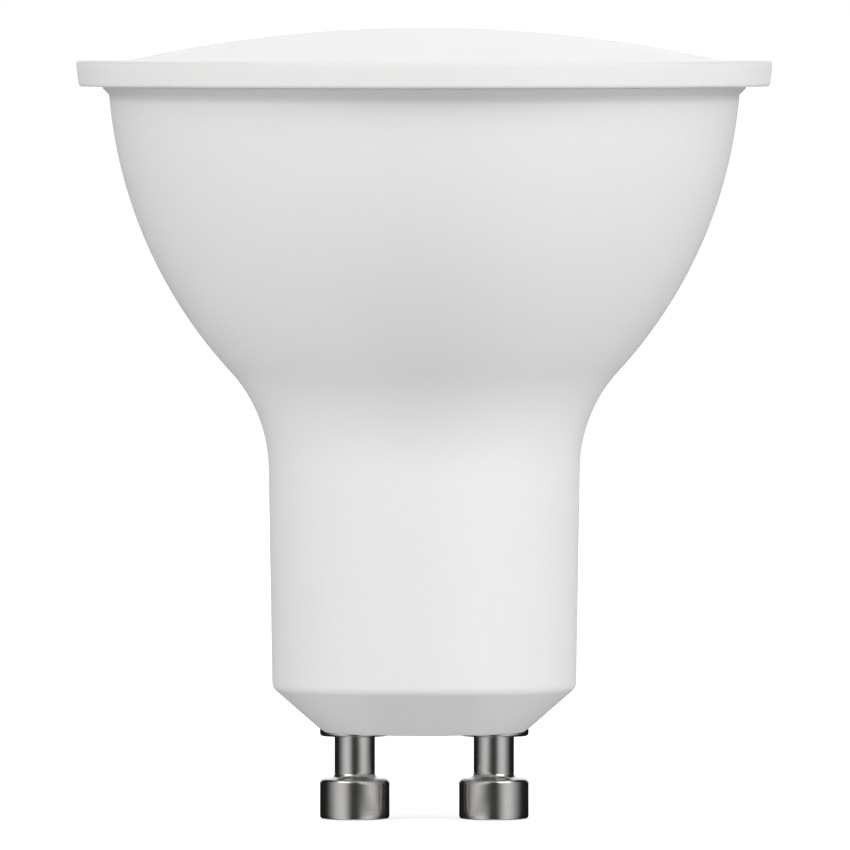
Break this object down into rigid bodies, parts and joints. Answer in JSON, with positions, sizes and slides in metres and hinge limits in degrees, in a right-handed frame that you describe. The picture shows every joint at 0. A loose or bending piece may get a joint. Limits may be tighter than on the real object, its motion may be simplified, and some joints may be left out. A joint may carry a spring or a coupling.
{
  "type": "gu10 spotlight bulb",
  "caption": "Reflector-shaped LED spotlight lamp: white moulded bowl and neck, milky domed cover with a flange, and twist-lock contact pins.",
  "frame": {"origin": "on the lamp's axis, level with the ends of the contact pins", "axes": "+Z along the lamp's axis towards the cover; X through both contact pins"},
  "size_m": [0.05, 0.05, 0.0569],
  "materials": {
    "housing_plastic": "satin moulded white",
    "cover_plastic": "milky satin",
    "nickel_plate": "bright nickel plate",
    "heat_sink_aluminium": "pressed sheet, mill finish",
    "led_board_mask": "white solder mask on aluminium",
    "led_phosphor": "white case with yellow phosphor",
    "board_laminate": "green glass laminate",
    "tinned_wire": "tinned",
    "capacitor_sleeve": "dark shrink sleeve on aluminium",
    "film_capacitor_case": "dipped case",
    "resistor_coat": "cement coat",
    "ferrite": "sintered ferrite",
    "enamelled_copper": "enamelled wire",
    "bobbin_plastic": "moulded",
    "winding_tape": "polyester tape",
    "package_plastic": "moulded, with tinned legs",
    "chip_resistor_ceramic": "dark glaze with tinned ends"
  },
  "bodies": {
    "root": {"housing": "housing_plastic", "cover": "cover_plastic", "contact_pin_left": "nickel_plate", "contact_pin_right": "nickel_plate", "heat_sink": "heat_sink_aluminium", "led_board": "led_board_mask", "driver_board": "board_laminate", "input_lead_left": "tinned_wire", "input_lead_right": "tinned_wire", "output_pin_left": "tinned_wire", "output_pin_right": "tinned_wire", "input_capacitor": "capacitor_sleeve", "output_capacitor": "capacitor_sleeve", "film_capacitor": "film_capacitor_case", "fusible_resistor": "resistor_coat", "choke_core": "ferrite", "choke_winding": "enamelled_copper", "transformer_bobbin": "bobbin_plastic", "transformer_winding": "winding_tape", "transformer_core_upper": "ferrite", "transformer_core_lower": "ferrite", "bridge_rectifier": "package_plastic", "driver_chip": "package_plastic", "output_diode": "package_plastic", "led_1": "led_phosphor", "led_2": "led_phosphor", "led_3": "led_phosphor", "led_4": "led_phosphor", "led_5": "led_phosphor", "led_6": "led_phosphor", "led_7": "led_phosphor", "led_8": "led_phosphor", "chip_resistor_1": "chip_resistor_ceramic", "chip_resistor_2": "chip_resistor_ceramic", "chip_resistor_3": "chip_resistor_ceramic", "chip_resistor_4": "chip_resistor_ceramic"}
  },
  "joints": []
}
